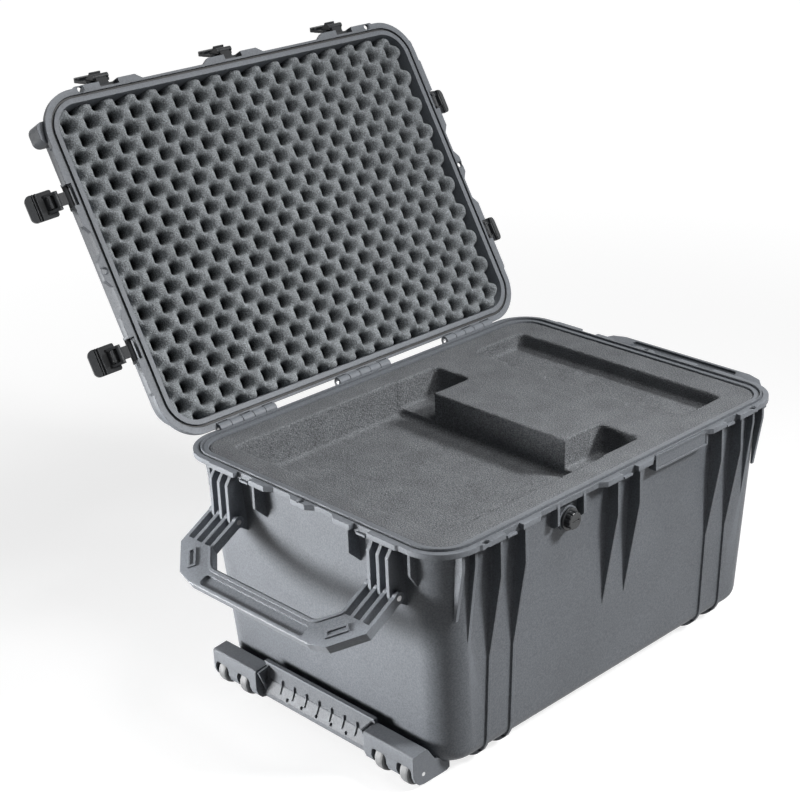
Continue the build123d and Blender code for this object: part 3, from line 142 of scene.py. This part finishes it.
# ---- node helpers -------------------------------------------------------------------------------------
class Nodes:
    """A small wrapper that makes the node tree of a material or a world readable."""

    def __init__(self, owner, output="OutputMaterial"):
        owner.use_nodes = True
        self.owner = owner
        self.tree = owner.node_tree
        self.tree.nodes.clear()
        self.output = self.add(output)

    def add(self, kind, **settings):
        node = self.tree.nodes.new("ShaderNode" + kind)
        for key, value in settings.items():
            setattr(node, key, value)
        return node

    def link(self, source, target):
        self.tree.links.new(source, target)

    def coords(self):
        """Object coordinates, which are the frame's metres."""
        return self.add("TexCoord").outputs["Object"]

    def noise(self, scale, detail=3.0, rough=0.55):
        """Noise of so many cells per metre."""
        node = self.add("TexNoise")
        node.inputs["Scale"].default_value = scale
        node.inputs["Detail"].default_value = detail
        node.inputs["Roughness"].default_value = rough
        self.link(self.coords(), node.inputs["Vector"])
        return node.outputs["Fac"]

    def voronoi(self, scale):
        """Round cells, so many per metre."""
        node = self.add("TexVoronoi")
        node.inputs["Scale"].default_value = scale
        self.link(self.coords(), node.inputs["Vector"])
        return node.outputs["Distance"]

    def ramp(self, source, stops):
        """A colour ramp, given as (place, colour) stops."""
        node = self.add("ValToRGB")
        ramp = node.color_ramp
        while len(ramp.elements) < len(stops):
            ramp.elements.new(0.5)
        for element, (place, colour) in zip(ramp.elements, stops):
            element.position = place
            element.color = (*colour, 1.0)
        self.link(source, node.inputs["Fac"])
        return node.outputs["Color"]

    def tones(self, source, colour, between, shades):
        """Shades of a colour that follow one another as the source runs between the given values."""
        return self.ramp(source, [(place, scaled(colour, shade)) for place, shade in zip(between, shades)])

    def span(self, source, low, high):
        """Map 0..1 to low..high."""
        node = self.add("MapRange")
        node.inputs["To Min"].default_value = low
        node.inputs["To Max"].default_value = high
        self.link(source, node.inputs["Value"])
        return node.outputs["Result"]

    def maths(self, operation, a, b):
        node = self.add("Math", operation=operation)
        for socket, value in zip(node.inputs, (a, b)):
            self.link(value, socket)
        return node.outputs["Value"]

    def blend(self, factor, base, colour):
        """A constant colour over a base, by a factor from the tree."""
        node = self.add("MixRGB")
        node.inputs["Color2"].default_value = (*colour, 1.0)
        self.link(factor, node.inputs["Fac"])
        self.link(base, node.inputs["Color1"])
        return node.outputs["Color"]

    def multiply(self, base, tone):
        """Two colours, one times the other."""
        node = self.add("MixRGB", blend_type="MULTIPLY")
        node.inputs["Fac"].default_value = 1.0
        self.link(base, node.inputs["Color1"])
        self.link(tone, node.inputs["Color2"])
        return node.outputs["Color"]

    def bump(self, height, strength, distance, normal=None):
        node = self.add("Bump")
        node.inputs["Strength"].default_value = strength
        node.inputs["Distance"].default_value = distance
        self.link(height, node.inputs["Height"])
        if normal:
            self.link(normal, node.inputs["Normal"])
        return node.outputs["Normal"]

    def bevel(self, radius):
        """Edges shaded as if rounded to a radius."""
        node = self.add("Bevel", samples=4)
        node.inputs["Radius"].default_value = radius
        return node.outputs["Normal"]

    def seen(self):
        """1 for rays that show the background: from the camera, from gloss and through glass."""
        path = self.add("LightPath")
        direct = self.maths("MAXIMUM", path.outputs["Is Camera Ray"], path.outputs["Is Glossy Ray"])
        return self.maths("MAXIMUM", direct, path.outputs["Is Transmission Ray"])

    def surface(self, colour, roughness, normal, **constants):
        """A principled surface; a roughness may be a socket or a number."""
        shader = self.add("BsdfPrincipled")
        for key, value in constants.items():
            shader.inputs[key.replace("_", " ")].default_value = value
        self.link(colour, shader.inputs["Base Color"])
        if isinstance(roughness, float):
            shader.inputs["Roughness"].default_value = roughness
        else:
            self.link(roughness, shader.inputs["Roughness"])
        self.link(normal, shader.inputs["Normal"])
        self.link(shader.outputs["BSDF"], self.output.inputs["Surface"])
        return self.owner


def material_nodes(name):
    return Nodes(bpy.data.materials.new(name))


# ---- materials ----------------------------------------------------------------------------------------
def moulded_plastic(name, colour, roughness, grain=GRAIN, round_edges=EDGE_ROUND, gloss=0.25):
    """Textured thermoplastic: fine spark grain, faint flow marks, and slightly paler sharp edges that are partly
    scuff wear and partly painted highlight.
    """
    n = material_nodes(name)
    fine = n.noise(scale=900.0, detail=2.0)
    spark = n.noise(scale=380.0, detail=2.0, rough=0.7)
    scuff = n.noise(scale=160.0, detail=5.0, rough=0.7)
    flow = n.noise(scale=7.0, detail=4.0)
    flow_tone = n.tones(flow, colour, between=(0.3, 0.7), shades=(0.92, 1.08))
    spark_tone = n.tones(spark, WHITE, between=(0.34, 0.66), shades=(0.8, 1.18))
    pointed = n.add("NewGeometry").outputs["Pointiness"]
    # sharp edges are made paler: partly scuff wear, partly a painted highlight along the edges
    edges = n.tones(pointed, WHITE, between=(0.52, 0.6), shades=(0.0, 1.0))
    edge_wear_and_highlight = n.maths("MULTIPLY", edges, n.span(scuff, low=0.1, high=0.9))
    tone = n.blend(edge_wear_and_highlight, n.multiply(flow_tone, spark_tone), scaled(colour, EDGE_WEAR_AND_HIGHLIGHT_TONE))
    rough = n.span(scuff, low=roughness - POLISHED, high=roughness + SCUFFED)
    fine_relief = n.bump(fine, strength=0.55, distance=grain, normal=n.bevel(round_edges))
    relief = n.bump(spark, strength=0.45, distance=SPARK_DEPTH * grain, normal=fine_relief)
    return n.surface(tone, rough, relief, Specular_IOR_Level=gloss)


def foam(name, colour, painted_pit_shade=1.0):
    """Open-cell foam: fine dark pores between paler struts, fully matte, with painted shade that darkens it deep
    in its pits.
    """
    n = material_nodes(name)
    pores = n.voronoi(scale=420.0)
    struts = n.noise(scale=470.0, rough=0.7)
    cloudy = n.noise(scale=22.0)
    tone = n.tones(struts, colour, between=(0.3, 0.5, 0.72), shades=(0.5, 1.0, 1.7))
    cloud_tone = n.tones(cloudy, WHITE, between=(0.3, 0.7), shades=(0.88, 1.1))
    depth = n.add("Attribute", attribute_name="pit_depth").outputs["Fac"]
    # painted shade: deep in the pits the colour falls to the given fraction of itself
    painted_pit_shade_tone = n.tones(depth, WHITE, between=(0.25, 0.6), shades=(1.0, painted_pit_shade))
    shaded = n.multiply(n.multiply(tone, cloud_tone), painted_pit_shade_tone)
    strut_relief = n.bump(struts, strength=0.7, distance=0.8 * MM)
    relief = n.bump(pores, strength=0.8, distance=1.2 * MM, normal=strut_relief)
    return n.surface(shaded, FOAM_ROUGHNESS, relief, Specular_IOR_Level=0.0)


def rubber(name, colour):
    """Moulded rubber with faint dust and mould grain."""
    n = material_nodes(name)
    dust = n.noise(scale=120.0, detail=5.0, rough=0.7)
    mould = n.noise(scale=1400.0, detail=2.0)
    tone = n.tones(dust, colour, between=(0.35, 0.7), shades=(0.85, 1.25))
    rough = n.span(dust, low=RUBBER_SMOOTH, high=RUBBER_DUSTY)
    relief = n.bump(mould, strength=0.4, distance=0.2 * MM, normal=n.bevel(0.6 * MM))
    return n.surface(tone, rough, relief)


def steel(name):
    """Plain turned steel with faint tool marks."""
    n = material_nodes(name)
    marks = n.noise(scale=1500.0, detail=2.0)
    tone = n.ramp(n.noise(scale=90.0), [(0.3, STEEL_DARK), (0.7, STEEL_BRIGHT)])
    rough = n.span(marks, low=0.24, high=0.38)
    relief = n.bump(marks, strength=0.2, distance=0.1 * MM, normal=n.bevel(0.4 * MM))
    return n.surface(tone, rough, relief, Metallic=1.0)


MATERIALS = {
    "case_plastic": moulded_plastic("case_plastic", CASE_GREY, 0.46),
    "carriage_plastic": moulded_plastic("carriage_plastic", CARRIAGE_GREY, 0.58, COARSE_GRAIN, gloss=0.4),
    "handle_plastic": moulded_plastic("handle_plastic", HANDLE_GREY, 0.38),
    "latch_plastic": moulded_plastic("latch_plastic", LATCH_BLACK, 0.42, FINE_GRAIN, 0.7 * MM),
    "valve_plastic": moulded_plastic("valve_plastic", LATCH_BLACK, 0.3, FINE_GRAIN, 0.6 * MM, gloss=0.5),
    "hub_plastic": moulded_plastic("hub_plastic", HUB_BLACK, 0.4, FINE_GRAIN, 0.5 * MM, gloss=0.4),
    "foam": foam("foam", FOAM_GREY),
    # the lid foam's pits get painted shade, falling to a tenth of its colour at their deepest
    "lid_foam": foam("lid_foam", LID_FOAM_GREY, painted_pit_shade=0.1),
    "seal_rubber": rubber("seal_rubber", SEAL_BLACK),
    "tyre_rubber": rubber("tyre_rubber", TYRE_GREY),
    "steel": steel("steel"),
}


def dress_nodes():
    """Give every CAD node the procedural material of its slot."""
    slot_of = {s["node"]: s["material_slot"] for s in frame["record"]["subparts"]}
    for name, node in frame["nodes"].items():
        node.data.materials.clear()
        node.data.materials.append(MATERIALS[slot_of[name]])


# ---- mesh helpers -------------------------------------------------------------------------------------
def new_piece(name, mesh, slot, body):
    """Link a mesh, smooth shaded, as a piece that rides on a body."""
    piece = bpy.data.objects.new(name, mesh)
    bpy.context.scene.collection.objects.link(piece)
    mesh.materials.clear()
    mesh.materials.append(MATERIALS[slot])
    for polygon in mesh.polygons:
        polygon.use_smooth = True
    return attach(piece, body)


def stand_for(node_name):
    """Hide the CAD node that a cut foam piece stands for."""
    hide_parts(node_name)


def shut_to_open():
    """Matrix that carries the shut lid to where it stands open."""
    return Matrix.Translation(HINGE) @ Matrix.Rotation(-LID_OPEN, 4, "X") @ Matrix.Translation(-HINGE)


# ---- lid foam -----------------------------------------------------------------------------------------
def convoluted(x, y):
    """0 at a pit, 1 at a peak of the staggered pattern: round domes with narrower pits between them."""
    pit = 0.5 - 0.5 * cos(pi * x / PEAK_STEP_X) * cos(pi * y / PEAK_STEP_Y)
    return DOME_SHARE * (1 - pit) + (1 - DOME_SHARE) * (1 - pit ** PIT_SHARPNESS)


def clamp_to_plan(x, y):
    """Pull a point that lies outside the foam's rounded plan back to its corner arc."""
    arc_x = LID_FOAM_HALF_X - LID_FOAM_CORNER
    arc_y = LID_FOAM_HALF_Y - LID_FOAM_CORNER
    dx = abs(x) - arc_x
    dy = abs(y) - arc_y
    if dx <= 0 or dy <= 0 or hypot(dx, dy) <= LID_FOAM_CORNER:
        return x, y
    angle = atan2(dy, dx)
    sx = 1 if x > 0 else -1
    sy = 1 if y > 0 else -1
    return sx * (arc_x + LID_FOAM_CORNER * cos(angle)), sy * (arc_y + LID_FOAM_CORNER * sin(angle))


def edge_fall(x, y):
    """How far the face falls near the foam's cut sides, as a quarter ellipse."""
    dx = max(abs(x) - LID_FOAM_HALF_X + LID_FOAM_CORNER, 0)
    dy = max(abs(y) - LID_FOAM_HALF_Y + LID_FOAM_CORNER, 0)
    inside = LID_FOAM_CORNER - hypot(dx, dy)
    share = min(max(1 - inside / EDGE_REACH, 0), 1)
    return EDGE_FALL * (1 - sqrt(1 - share * share))


def lid_foam_face(mesh):
    """The face with its peaks and pits, as a grid of vertices that know how deep in a pit they lie."""
    # how deep each vertex lies in a pit; the lid foam's material paints shade in its pits from this
    pit_depth = mesh.verts.layers.float.new("pit_depth")
    columns = int(2 * LID_FOAM_HALF_X / FOAM_CELL)
    rows = int(2 * LID_FOAM_HALF_Y / FOAM_CELL)
    grid = []
    for j in range(rows + 1):
        line = []
        for i in range(columns + 1):
            x, y = clamp_to_plan(-LID_FOAM_HALF_X + 2 * LID_FOAM_HALF_X * i / columns,
                                 -LID_FOAM_HALF_Y + 2 * LID_FOAM_HALF_Y * j / rows)
            wobble = WOBBLE * noise.noise(Vector((x, y, 0)) * WOBBLE_SCALE)
            stray = STRAY * noise.noise(Vector((x, y, STRAY_SLICE)) * STRAY_SCALE)
            depth = 1 - convoluted(x + stray, y + stray)
            drop = PEAK_DROP + PIT_DEPTH * depth + edge_fall(x, y) + wobble
            vertex = mesh.verts.new((x, y, PARTING + drop))
            vertex[pit_depth] = depth
            line.append(vertex)
        grid.append(line)
    for j in range(rows):
        for i in range(columns):
            mesh.faces.new((grid[j][i], grid[j + 1][i], grid[j + 1][i + 1], grid[j][i + 1]))


def lid_foam_piece():
    """Convoluted foam: a closed block whose face has staggered rows of peaks and pits."""
    mesh = bmesh.new()
    lid_foam_face(mesh)
    rim = [e for e in mesh.edges if e.is_boundary]
    walls = bmesh.ops.extrude_edge_only(mesh, edges=rim)["geom"]
    for vertex in walls:
        if isinstance(vertex, bmesh.types.BMVert):
            vertex.co.z = PARTING + LID_FOAM_TOP
    bmesh.ops.holes_fill(mesh, edges=[e for e in mesh.edges if e.is_boundary])
    bmesh.ops.remove_doubles(mesh, verts=mesh.verts, dist=WELD)
    bmesh.ops.recalc_face_normals(mesh, faces=mesh.faces)
    bmesh.ops.transform(mesh, matrix=shut_to_open(), verts=mesh.verts)
    data = bpy.data.meshes.new("lid_foam_convoluted")
    mesh.to_mesh(data)
    mesh.free()
    piece = new_piece("lid_foam_convoluted", data, "lid_foam", "lid")
    stand_for("lid_foam")


# ---- tub foam -----------------------------------------------------------------------------------------
def cut_foam_piece(node_name, voxel):
    """A foam layer with softly rounded cut edges and a slightly uneven face."""
    name = node_name + "_cut"
    data = frame["nodes"][node_name].data.copy()
    data.name = name
    piece = new_piece(name, data, "foam", "base")
    remesh = piece.modifiers.new("remesh", "REMESH")
    remesh.mode = "VOXEL"
    remesh.voxel_size = voxel
    smooth = piece.modifiers.new("smooth", "SMOOTH")
    smooth.factor = CUT_SMOOTHING
    smooth.iterations = CUT_SMOOTHING_ROUNDS
    evaluated = piece.evaluated_get(bpy.context.evaluated_depsgraph_get())
    final = bpy.data.meshes.new_from_object(evaluated)
    piece.modifiers.clear()
    piece.data = final
    for vertex in final.vertices:
        vertex.co.z += CUT_UNEVEN * noise.noise(vertex.co * CUT_UNEVEN_SCALE)
    for polygon in final.polygons:
        polygon.use_smooth = True
    stand_for(node_name)


# ---- camera -------------------------------------------------------------------------------------------
def make_camera():
    """The photograph's camera."""
    level = cos(CAMERA_ELEVATION)
    back = Vector((sin(CAMERA_AZIMUTH) * level, -cos(CAMERA_AZIMUTH) * level, sin(CAMERA_ELEVATION)))
    right = (-back).cross(Vector((0, 0, 1))).normalized()
    up = right.cross(-back).normalized()
    s = sin(CAMERA_ROLL)
    c = cos(CAMERA_ROLL)
    axes = (c * right + s * up, -s * right + c * up, back)
    data = bpy.data.cameras.new("camera")
    camera = bpy.data.objects.new("camera", data)
    bpy.context.scene.collection.objects.link(camera)
    spin = Matrix(axes).transposed().to_4x4()
    camera.matrix_world = Matrix.Translation(CAMERA_TARGET + back * CAMERA_DISTANCE) @ spin
    data.sensor_width = SENSOR
    data.lens = SENSOR * FOCAL_PX / PHOTO_SIZE
    data.shift_x = (PHOTO_SIZE / 2 - PRINCIPAL_PX[0]) / PHOTO_SIZE
    data.shift_y = (PRINCIPAL_PX[1] - PHOTO_SIZE / 2) / PHOTO_SIZE
    data.clip_end = CLIP_END
    bpy.context.scene.camera = camera


# ---- light and stage ----------------------------------------------------------------------------------
def area_light(name, aim, toward, distance, size, watts, spread=180):
    """A square softbox that looks at a point of the case."""
    data = bpy.data.lights.new(name, "AREA")
    data.energy = watts
    data.size = size
    data.spread = radians(spread)
    light = bpy.data.objects.new(name, data)
    bpy.context.scene.collection.objects.link(light)
    direction = Vector(toward).normalized()
    light.location = Vector(aim) + direction * distance
    light.rotation_mode = "QUATERNION"
    light.rotation_quaternion = direction.to_track_quat("Z", "Y")


def make_lights():
    """A key from the front's far end, a softbox above the front and a low one on the wheel end."""
    area_light("key", aim=(-0.28, -0.2, 0.3), toward=(0.50, -0.60, 0.62),
               distance=3.2, size=0.6, watts=16, spread=64)
    area_light("top", aim=(0, 0, 0.3), toward=(0.05, -0.38, 0.92),
               distance=2.6, size=0.9, watts=30)
    area_light("wheel_end", aim=(-0.38, -0.04, 0.08), toward=(-0.72, 0.70, 0.02),
               distance=1.9, size=0.9, watts=14, spread=44)


def make_world():
    """Faint light from all round on the case, and a white background behind it."""
    world = bpy.data.worlds.new("world")
    bpy.context.scene.world = world
    n = Nodes(world, "OutputWorld")
    shade = n.add("Background")
    shade.inputs["Color"].default_value = (*ROOM_SHADE, 1.0)
    shade.inputs["Strength"].default_value = ROOM_STRENGTH
    white = n.add("Background")
    white.inputs["Color"].default_value = (*WHITE, 1.0)
    mix = n.add("MixShader")
    n.link(n.seen(), mix.inputs["Fac"])
    n.link(shade.outputs["Background"], mix.inputs[1])
    n.link(white.outputs["Background"], mix.inputs[2])
    n.link(mix.outputs["Shader"], n.output.inputs["Surface"])


def floor_material():
    """Pale to the camera and in reflections, white far off, and grey to the lamps."""
    n = material_nodes("floor")
    from_middle = n.add("VectorMath", operation="LENGTH")
    n.link(n.coords(), from_middle.inputs[0])
    fade = n.add("MapRange")
    fade.inputs["From Min"].default_value = FLOOR_NEAR
    fade.inputs["From Max"].default_value = FLOOR_FAR
    fade.inputs["To Min"].default_value = FLOOR_GLOW
    fade.inputs["To Max"].default_value = 1.0
    n.link(from_middle.outputs["Value"], fade.inputs["Value"])
    diffuse = n.add("BsdfDiffuse")
    diffuse.inputs["Color"].default_value = (*FLOOR_GREY, 1.0)
    glow = n.add("Emission")
    glow.inputs["Color"].default_value = (*WHITE, 1.0)
    n.link(n.maths("MULTIPLY", n.seen(), fade.outputs["Result"]), glow.inputs["Strength"])
    both = n.add("AddShader")
    n.link(diffuse.outputs["BSDF"], both.inputs[0])
    n.link(glow.outputs["Emission"], both.inputs[1])
    n.link(both.outputs["Shader"], n.output.inputs["Surface"])
    return n.owner


def make_floor():
    """A wide floor that keeps the case's shadow."""
    mesh = bmesh.new()
    bmesh.ops.create_grid(mesh, x_segments=1, y_segments=1, size=FLOOR_HALF)
    data = bpy.data.meshes.new("floor")
    mesh.to_mesh(data)
    mesh.free()
    data.materials.append(floor_material())
    floor = bpy.data.objects.new("floor", data)
    bpy.context.scene.collection.objects.link(floor)


dress_nodes()
lid_foam_piece()
cut_foam_piece("foam_insert", INSERT_VOXEL)
cut_foam_piece("foam_block", BLOCK_VOXEL)
make_camera()
make_lights()
make_world()
make_floor()
bpy.context.scene.view_settings.view_transform = "Standard"
